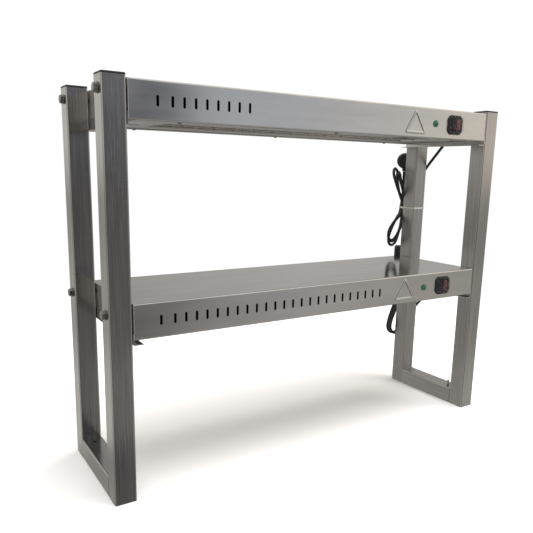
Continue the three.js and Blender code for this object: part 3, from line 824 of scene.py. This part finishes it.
def wires(starts, ends, radius, sides=12):
    """Straight round wires, one from each start to its end, each with softened tips."""
    shells = []
    for start, end in zip(np.array(starts, float), np.array(ends, float)):
        axis = int(np.argmax(np.abs(end - start)))
        length = (end - start)[axis]
        tip = 0.4 * radius
        profile = [(0, 0.55 * radius), (tip, radius), (length - tip, radius), (length, 0.55 * radius)]
        shells.append(turned(profile, start, axis, sides))
    return shells


for tier in TIERS:
    node = f"{tier}_wire_guard"
    low, high = box_mm(node)
    r = WIRE / 2
    y0, y1 = low[1] + r, high[1] - r
    x0, x1 = low[0] + r, high[0] - r
    rail_z, bar_z = low[2] + r, low[2] + r + 0.85 * WIRE
    rails = [((low[0], y, rail_z), (high[0], y, rail_z)) for y in (y0, (y0 + y1) / 2, y1)]
    bars = [((x, low[1], bar_z), (x, high[1], bar_z)) for x in np.linspace(x0, x1, 15)]
    starts, ends = zip(*(rails + bars))
    piece(f"{node}_wires", wires(starts, ends, r), WIRE_STEEL, [node])

# ---- rocker switches ----------------------------------------------------------------
# A snap-in nylon switch: an eight-sided bezel, a well, and a red rocker that turns on its
# own pins. Its pressed-in left half is painted black as shade, and its raised right half
# shows the red light window. A soft clear PVC boot keeps grease out.
SKIN = 1.1  # the boot's thickness
TILT = -10  # degrees, with the rocker's left half pressed in

NYLON_BLACK = finished(
    "moulded black nylon", ("#161618", "#1f1f21"), 10, 0.5, (0.3, 0.45), 0.03,
    Specular_IOR_Level=0.5,
)
RED_WINDOW = finished(
    "red polycarbonate", ("#541d22", "#6b2a30"), 6, 3, (0.12, 0.22), IOR=1.58, Coat_Weight=0.4
)
CLEAR_PVC, tree, shader = material("clear soft PVC", Alpha=0.12, IOR=1.45)
wobble = stretched_noise(tree, 9, detail=1)
tinted(tree, shader, wobble, "#2a2a2c", "#444447")
roughened(tree, shader, wobble, 0.1, 0.22)
bumped(tree, shader, wobble, 0.25)


def octagon(half_x, half_z, chamfer, soft=0.9, steps=3):
    """An eight-sided outline: a rectangle whose corners are cut at 45 degrees, with its
    eight new corners rounded."""
    a, b, c = half_x, half_z, chamfer
    quarter = [(a, -b + c), (a, b - c), (a - c, b), (-a + c, b)]
    return rounded_corners(quarter + [(-x, -z) for x, z in quarter], soft, steps)


def octagon_rings(profile, centre_x, centre_z):
    """Octagons of (half width, half height, chamfer, y), stacked along Y."""
    rings = [
        along(octagon(a, b, c, min(0.9, 0.4 * c)) + (centre_x, centre_z), 1, [y])[0]
        for a, b, c, y in profile
    ]
    return np.array(rings)


for tier in TIERS:
    node = f"{tier}_switch_body"
    low, high = box_mm(node)
    x, z = (low[0] + high[0]) / 2, (low[2] + high[2]) / 2
    front, panel = low[1], casing_boxes[tier][0][1]
    profile = [
        (14, 12.5, 1.2, high[1]), (14, 12.5, 1.2, panel + 0.1), (21, 20, 7, panel - 0.1),
        (21, 20, 7, front + 0.9), (20.7, 19.7, 6.9, front + 0.3),
        (20.1, 19.1, 6.7, front), (16.8, 15.6, 4.6, front),
        (16.5, 15.3, 4.5, front + 0.4), (14.2, 12.9, 1.6, front + 0.6),
        (13.4, 12, 1.2, front + 1.2), (13.2, 11.8, 1, high[1] - 13),
    ]
    moulding = loft(octagon_rings(profile, x, z))
    piece(f"{node}_moulding", [moulding], NYLON_BLACK, [node])

    # the rocker: its outline in plan is carried along the pins, tilted left half in
    node = f"{tier}_switch_rocker"
    low, high = box_mm(node)
    pin_y = panel + 3
    s = np.linspace(-1, 1, 13)
    face = np.stack([12 * s, -8 + 1.2 * np.abs(s) ** 1.6 - 0.25 * np.cos(np.pi * s)], 1)
    back = np.array([(11.7, 0.5), (10, 2), (3, 4), (-3, 4), (-10, 2), (-11.7, 0.5)])
    plan = np.vstack([face, back])
    tilt = np.radians(TILT)
    spin = np.array([[np.cos(tilt), -np.sin(tilt)], [np.sin(tilt), np.cos(tilt)]])
    shrinks = ((-11, 0.94), (-10.6, 0.985), (-10, 1), (10, 1), (10.6, 0.985), (11, 0.94))
    layers = [
        along(plan * shrink @ spin.T + (x, pin_y), 2, [z + up])[0] for up, shrink in shrinks
    ]
    pins = turned([(-12.4, 1.1), (-12.1, 1.4), (12.1, 1.4), (12.4, 1.1)], (x, pin_y, z), 2, 20)
    rocker = piece(
        f"{node}_moulding",
        [loft(layers), pins],
        [NYLON_BLACK, RED_WINDOW],
        [node],
        body=f"{tier}_rocker",
        crease=40,
    )
    # painted shade: the pressed-in left half takes the black nylon, and only the raised right half is red
    centres = np.zeros(len(rocker.data.polygons) * 3)
    rocker.data.polygons.foreach_get("center", centres)
    right = centres.reshape(-1, 3)[:, 0] > (x + 0.4) * MM
    rocker.data.polygons.foreach_set("material_index", right.astype(np.int32))

    # the boot: a foot under the bezel's lip, straight walls and a soft crowned front
    node = f"{tier}_switch_boot"
    low, high = box_mm(node)
    y0, y1 = high[1], low[1]
    outside = [(18, 18.4, 6.4, y0), (18, 18.4, 6.4, y1 + 1.8), (17.6, 18, 6.2, y1 + 0.9)]
    outside += [(16.8, 17.2, 6, y1 + 0.3), (15.4, 15.8, 5.4, y1 + 0.05), (8, 8.2, 2.4, y1)]
    outside += [(0.8, 0.8, 0.25, y1)]
    inside = [(16.9, 17.3, 6, y0)]
    for a, b, c, y in outside[1:]:
        thin = SKIN if a > 2 else 0
        inside.append((a - thin, b - thin, c, y + SKIN))
    rings = octagon_rings(outside[::-1] + inside, x, z)
    piece(f"{node}_skin", [loft(rings)], CLEAR_PVC, [node], crease=60)

# ---- pilot lamps --------------------------------------------------------------------
# A snap-in neon lamp: a green polycarbonate lens with rings moulded inside its dome,
# in one piece with its bezel.
GREEN_LENS = finished(
    "green polycarbonate", ("#195540", "#246b4d"), 5, 3, (0.1, 0.2),
    IOR=1.58, Transmission_Weight=0.3, Coat_Weight=0.3,
)

for tier in TIERS:
    node = f"{tier}_pilot_lamp"
    low, high = box_mm(node)
    x, z = (low[0] + high[0]) / 2, (low[2] + high[2]) / 2
    panel = casing_boxes[tier][0][1]
    profile = [(24, 4.2), (23, 4.6), (0.2, 4.8), (-0.3, 7), (-1.2, 7), (-1.7, 6.6), (-1.8, 6.1)]
    profile += [(-1.5, 5.7), (-1.5, 5.2), (-2.6, 4.9), (-3.8, 4.3), (-4.5, 3.2), (-4.9, 1.8)]
    profile += [(-5, 0.3)]
    lamp = turned(profile, (x, panel, z), 1, 48)
    piece(f"{node}_lens", [lamp], GREEN_LENS, [node])

# ---- bolts --------------------------------------------------------------------------
# Stainless hexagon bolts with plain washers, through the uprights into the boxes. The
# forged heads are chamfered to a shallow round face, which catches the light.
ACROSS_FLATS = 13.0
HOLE = 3.2  # radius of the holes in the base bars
HOLES_Y = (-60, 60)


def hex_head(base, out, centre, axis):
    """A head of a hexagon and a cone: the washer face, straight flats, and a domed top."""
    profile = [(0, 6.2), (0.25, 6.4), (0.3, 7.6), (4.2, 7.6), (4.9, 7), (5.5, 6.2), (5.9, 5)]
    profile += [(6.1, 3.4), (6.2, 1.6), (6.22, 0.3)]
    return turned([(base + out * d, r) for d, r in profile], centre, axis, 48, ACROSS_FLATS)


def washer(base, out, centre, axis, radius=8.5):
    profile = [(0, radius - 0.2), (0.2, radius), (1.3, radius), (1.5, radius - 0.3), (1.52, 4)]
    return turned([(base + out * d, r) for d, r in profile], centre, axis, 48)


for tier in TIERS:
    for side, s in zip(SIDES, (-1, 1)):
        for end in ENDS:
            node = f"{tier}_{side}_{end}_bolt"
            low, high = box_mm(node)
            centre = (low + high) / 2 * (0, 1, 1)
            face = box_mm(f"{side}_{end}_upright")[(s + 1) // 2][0]
            inner = low[0] if s > 0 else high[0]
            shank = turned([(inner, 3), (inner + s, 3.7), (face + s, 3.7)], centre, 0, 24)
            shells = [
                washer(face + s * 0.3, s, centre, 0),
                hex_head(face + s * 1.7, s, centre, 0),
                shank,
            ]
            piece(f"{node}_steel", shells, SCREW_STEEL, [node])

# the screw that holds the right leg down, standing out of the base bar's front hole
low, high = box_mm("right_base_bar")
spot = np.array([(low[0] + high[0]) / 2, HOLES_Y[0], 0])
top = high[2] + 11
thread = [(high[2] - 3 + 0.5 * i, 2.3 if i % 2 else 2.6) for i in range(27)]
shells = [turned([*thread, (top, 2.3), (top + 0.5, 1.8)], spot, 2, 24)]
piece("right_base_screw", shells, SCREW_STEEL)

# the holes in the tops and bottoms of the base bars
for side, bar in base_bars.items():
    low, high = box_mm(f"{side}_base_bar")
    x = (low[0] + high[0]) / 2
    punch = [(-2, HOLE), (high[2] + 2, HOLE)]
    cut_away(bar, [turned(punch, (x, y, 0), 2, 32) for y in HOLES_Y])

# ---- cord glands and strain reliefs -------------------------------------------------
# A black nylon gland is snapped into the right end plate. A soft ribbed sleeve tapers
# down onto the cord for 30 mm, so that it can't kink at the metal's edge.
RELIEF = 30.0


def bent_sleeve(line, length, radii, sides=20):
    """A tapered tube along the start of a line: its radius falls from the first to the
    last, with a rib every 4 mm. Its rings stand square to the line."""
    step = np.linalg.norm(np.diff(line, axis=0), axis=1)
    reach = np.concatenate([[0], np.cumsum(step)])
    s = np.linspace(0, length, 46)
    centre = np.stack([np.interp(s, reach, line[:, i]) for i in range(3)], 1)
    ahead = np.gradient(centre, axis=0)
    ahead /= np.linalg.norm(ahead, axis=1)[:, None]
    side = np.cross(ahead, (0, 0, 1.0))
    side[:] = side / np.linalg.norm(side, axis=1)[:, None]
    up = np.cross(side, ahead)
    rib = 0.35 * np.clip(np.sin(2 * np.pi * s / 4), -0.6, 0.6)
    radius = np.interp(s, [0, length], radii) + rib * (s > 2) * (s < length - 2)
    a = np.linspace(0, 2 * np.pi, sides, endpoint=False)
    rings = centre[:, None] + radius[:, None, None] * (
        np.cos(a)[None, :, None] * side[:, None] + np.sin(a)[None, :, None] * up[:, None]
    )
    return loft(rings)


for tier in TIERS:
    node = f"{tier}_cord_gland"
    low, high = box_mm(node)
    centre = np.array([0, 0, (low[2] + high[2]) / 2])
    face = box_mm(f"{tier}_right_end_plate")[1][0]
    profile = [(low[0], 6.2), (low[0] + 1, 7.6), (face - 1.8, 7.6), (face - 1.8, 6), (face + 0.3, 6)]
    profile += [(face + 0.3, 8.6), (face + 0.7, 9), (face + 2.6, 9), (face + 3.2, 8.4), (face + 3.6, 6.6)]
    collar = turned([*profile, (face + 5, 6.2), (face + 5.2, 4)], centre, 0, 40)
    piece(f"{node}_collar", [collar], NYLON_BLACK, [node])
    start = np.array([[face + 4, 0, centre[2]]])
    line = np.vstack([start, cord_lines[tier]])
    sleeve = bent_sleeve(line, RELIEF, (6.1, 4.1))
    piece(f"{tier}_strain_relief", [sleeve], PVC, crease=50)

# ---- cable ties ---------------------------------------------------------------------
# A natural nylon tie goes round the rear right upright and the hank behind it. Its head
# sits behind the hank, with the trimmed tail standing out of it.
NATURAL_NYLON = finished("natural nylon", ("#b1afa8", "#c3c1ba"), 8, 1, (0.35, 0.5), IOR=1.53)


for tier in TIERS:
    node = f"{tier}_cable_tie"
    low, high = box_mm(node)
    z = (low[2] + high[2]) / 2
    x0, x1, y0, y1 = low[0] + 0.6, high[0] - 0.6, low[1] + 0.6, high[1] - 0.6
    waist = ROUTES[tier]["hank"]["waist"][0]
    rear = box_mm("right_rear_upright")[1][1]
    outline = [(x0, y0), (x1, y0), (x1, rear + 1), (waist + 11, y1), (waist - 7, y1)]
    path = rounded_corners([*outline, (x0, rear + 3)], 5)
    path = np.column_stack([path, np.full(len(path), z)])
    band = [(-0.6, -2), (-0.3, -2.3), (0.3, -2.3), (0.6, -2)]
    band += [(-a, -b) for a, b in band]
    head = rounded_rectangle(4.2, 3.4, 0.8, 3) + (waist + 5, z)
    soft = rounded_rectangle(3.8, 3.0, 0.6, 3) + (waist + 5, z)
    block = [along(soft, 1, [y1 - 0.3]), along(head, 1, [y1, y1 + 3.6])]
    block = np.concatenate([*block, along(soft, 1, [y1 + 4.2])])
    strip = rounded_rectangle(0.55, 2.1, 0.3, 2) + (waist + 9.6, z)
    strip = along(strip, 1, [y1 + 1, y1 + 9])
    shells = [swept_ring(path, 2, band), loft(block), loft(strip)]
    piece(f"{node}_band", shells, NATURAL_NYLON, [node])

# ---- plugs --------------------------------------------------------------------------
# Round angled mains plugs, moulded in black PVC on the cord: a stepped back with a grip
# ring, a ribbed neck, a pin face, and two nickel-plated brass pins with round tips.
PLUGS = {"upper": -45.0, "lower": -135.0}  # where the pins point, turned about Z from +Y

PLUG_PVC = finished(
    "moulded PVC", ("#18181a", "#222224"), 12, 0.6, (0.38, 0.55), 0.05, Specular_IOR_Level=0.5
)
NICKEL = finished("nickel plate", ("#b4b0a6", "#c9c5bb"), 5, 1, (0.16, 0.3), Metallic=1.0)


def spun(shell, degrees, centre):
    """A shell turned about the upright axis through the origin, then moved."""
    points, faces = shell
    a = np.radians(degrees)
    turn = np.array([[np.cos(a), np.sin(a), 0], [-np.sin(a), np.cos(a), 0], [0, 0, 1]])
    return points @ turn + centre, faces


for tier, turn in PLUGS.items():
    node = f"{tier}_plug"
    low, high = box_mm(node)
    neck_foot = np.array(ROUTES[tier]["plug_lead"][-1], float)
    centre = neck_foot + (0, 0, 27.4)
    # (distance along the pins, radius), from the middle of the back to the pin face
    back = [(-10.2, 0.4), (-10.2, 8.5), (-10.4, 9.5), (-11, 10.2), (-11, 14.6), (-10.6, 16.2)]
    back += [(-9.6, 17.8), (-8.2, 19), (-6.4, 19.7), (-5, 20), (-4.4, 19.5), (-2.6, 19.5), (-2, 20)]
    back += [(2, 20), (2.6, 19.5), (4.4, 19.5), (5, 20), (8.6, 20), (9.8, 19.4), (10.6, 18.4), (11, 17)]
    body = turned([*back, (11, 16), (10.2, 15.6), (10.2, 0.4)], (0, 0, 0), 1, 64)
    ribs = [(-27, 4.2)]
    for i in range(4):
        z = -26.6 + 2.6 * i
        r = 5.2 + 0.35 * i
        ribs += [(z, r), (z + 1.4, r + 0.1), (z + 1.7, r - 0.7), (z + 2.2, r - 0.7)]
    neck = turned([*ribs, (-16.4, 7.2), (-12, 7.6)], (0, 1, 0), 2, 32)
    shells = [spun(shell, turn, centre) for shell in (body, neck)]
    moulding = piece(f"{node}_moulding", shells, PLUG_PVC, [node])
    pin = [(10, 2.4), (24.5, 2.4), (27, 2.1), (28.3, 1.5), (29, 0.4)]
    shells = [spun(turned(pin, (x, 0, 0), 1, 24), turn, centre) for x in (-9.5, 9.5)]
    pins = piece(f"{node}_pins", shells, NICKEL)

# ---- floor and light ----------------------------------------------------------------
# The pale floor fades out before its edge. The steel mirrors a painted room: its walls
# and ground change tone by bearing, and bands of light and shade cross them by height.
# Two soft boxes, which aren't mirrored, add light. The camera sees white behind it all.
FLOOR_HALF = 2.5  # metres
DRIFT = 0.35  # how far noise moves the bearings, in radians
WOBBLE = 0.05  # and how far it moves the bands

FLOOR, tree, shader = material("pale floor", Base_Color=linear("#f4f4f3"))
roughened(tree, shader, stretched_noise(tree, 400), 0.75, 0.85)
place = add(tree, "TexCoord").outputs["Object"]
away = add(tree, "VectorMath", {0: place}, operation="LENGTH").outputs["Value"]
fade = {"Value": away, "From Min": 0.7, "From Max": 2.4, "To Min": 1.0, "To Max": 0.0}
faded = add(tree, "MapRange", fade, interpolation_type="SMOOTHSTEP").outputs[0]
tree.links.new(faded, shader.inputs["Alpha"])
mesh = bpy.data.meshes.new("floor")
corners = FLOOR_HALF * np.array([(-1, -1, 0), (1, -1, 0), (1, 1, 0), (-1, 1, 0)])
mesh.from_pydata(corners.tolist(), [], [(0, 1, 2, 3)])
mesh.materials.append(FLOOR)
floor = bpy.data.objects.new("floor", mesh)
floor.visible_glossy = False
bpy.context.scene.collection.objects.link(floor)

world = bpy.data.worlds.new("studio")
world.use_nodes = True
bpy.context.scene.world = world
tree = world.node_tree
tree.nodes.clear()
way = add(tree, "TexCoord").outputs["Generated"]
split = add(tree, "SeparateXYZ", {0: way})
bearing = add(tree, "Math", {0: split.outputs[0], 1: split.outputs[1]}, operation="ARCTAN2")
drift = add(tree, "TexNoise", {"Vector": way, "Scale": 2.5, "Detail": 1.0}).outputs["Fac"]
moved = {0: drift, 1: DRIFT, 2: bearing.outputs[0]}
shifted = add(tree, "Math", moved, operation="MULTIPLY_ADD").outputs[0]
turn = {0: shifted, "From Min": DRIFT / 2 - np.pi, "From Max": DRIFT / 2 + np.pi}
share = add(tree, "MapRange", turn).outputs[0]


def painted(value, stops):
    """A colour ramp through (position, colour) stops. Its two ends come first."""
    ramp = add(tree, "ValToRGB", {0: value})
    elements = ramp.color_ramp.elements
    for i, (position, colour) in enumerate(stops):
        stop = elements[i] if i < 2 else elements.new(position)
        stop.position = position
        stop.color = colour
    return ramp.outputs[0]


def panorama(stops):
    """Colours round the room by bearing in degrees from straight behind, right positive."""
    return painted(share, [((degrees + 180) / 360, linear(c)) for degrees, c in stops])


walls = panorama(
    [
        (-180, "#8a8a8b"), (180, "#77777a"), (-150, "#b4b2b0"), (-135, "#f0eee9"),
        (-95, "#f0eee9"), (-78, "#b4b1ac"), (-50, "#c6c3be"), (-36, "#d2cfc9"),
        (-18, "#dedbd5"), (0, "#c4c2be"), (15, "#a2a09d"), (35, "#b6b4b1"),
        (50, "#b0aeab"), (80, "#d8d2c8"), (110, "#f6ecde"), (126, "#fff3e4"),
        (134, "#dcdad6"), (144, "#c9cbd0"), (155.5, "#c8cbd2"), (158.5, "#7e8084"),
        (163, "#6c6d73"), (170, "#77777a"),
    ]
)
ground = panorama(
    [
        (-180, "#7c7b79"), (180, "#7a7977"), (-140, "#a8a6a2"), (-120, "#cfccc6"),
        (-95, "#cfccc6"), (-75, "#9a9792"), (-50, "#a8a5a0"), (-36, "#b9b6b0"),
        (-18, "#c0bdb7"), (0, "#a8a6a2"), (15, "#979591"), (50, "#979591"),
        (80, "#a8a59f"), (110, "#b8b5af"), (130, "#b8b5af"), (142, "#bfbdba"),
        (154, "#adabaa"), (158, "#8a8886"), (162, "#737170"),
    ]
)
wobble = add(tree, "TexNoise", {"Vector": way, "Scale": 14.0, "Detail": 2.0}).outputs["Fac"]
moved = {0: wobble, 1: WOBBLE, 2: split.outputs[2]}
level = add(tree, "Math", moved, operation="MULTIPLY_ADD").outputs[0]
span = {"Value": level, "From Min": -0.03, "From Max": 0.02}
rise = add(tree, "MapRange", span, interpolation_type="SMOOTHSTEP").outputs[0]
room = blended(tree, rise, ground, walls)

# broad bands of light and shade one above the other, and a white ceiling
span = {0: level, "From Min": WOBBLE / 2 - 1, "From Max": WOBBLE / 2 + 1}
height = add(tree, "MapRange", span).outputs[0]
levels = [
    (0.0, 0.6), (1.0, 1.0), (0.25, 0.6), (0.262, 0.48), (0.281, 0.48), (0.285, 0.94),
    (0.34, 0.9), (0.37, 0.66), (0.41, 0.72), (0.44, 0.62), (0.48, 0.6), (0.5, 0.64),
    (0.515, 0.76), (0.6, 0.74), (0.85, 1.0),
]
bands = painted(height, [(position, (v, v, v, 1)) for position, v in levels])
shaded = blended(tree, 1.0, room, bands, "MULTIPLY")

# one small bright window, to the front left
facing = add(tree, "VectorMath", {0: way, 1: (0.306, -0.943, 0.128)}, operation="DOT_PRODUCT")
pane = {"Value": facing.outputs["Value"], "From Min": 0.9988, "From Max": 0.9997, "To Max": 4.0}
window = add(tree, "MapRange", pane).outputs[0]
power = add(tree, "Math", {0: window, 1: 1.5}, operation="ADD").outputs[0]
soft = add(tree, "Background", {"Color": shaded, "Strength": power})
seen = add(tree, "Background", {"Color": linear("#ffffff"), "Strength": 1.0})
ray = add(tree, "LightPath")
choice = {0: ray.outputs["Is Camera Ray"], 1: soft.outputs[0], 2: seen.outputs[0]}
both = add(tree, "MixShader", choice)
add(tree, "OutputWorld", {0: both.outputs[0]})


def softbox(name, place, aim, size, power, colour):
    """A rectangular area light at a place in metres, facing an aim point."""
    light = bpy.data.lights.new(name, "AREA")
    light.shape = "RECTANGLE"
    light.size, light.size_y = size
    light.energy = power
    light.color = linear(colour)[:3]
    made = bpy.data.objects.new(name, light)
    made.visible_glossy = False
    back = np.array(place, float) - np.array(aim, float)
    back /= np.linalg.norm(back)
    across = np.cross((0, 0, 1.0), back)
    across /= np.linalg.norm(across)
    turn = Matrix(np.stack([across, np.cross(back, across), back], 1).tolist()).to_4x4()
    made.matrix_world = Matrix.Translation(place) @ turn
    bpy.context.scene.collection.objects.link(made)


softbox("top light", (0.2, -0.4, 2.6), (0, 0, 0.3), (2.4, 2.0), 100, "#ffffff")
softbox("right light", (3.0, -2.3, 1.6), (0.2, 0, 0.5), (1.2, 0.9), 22, "#fff2e4")
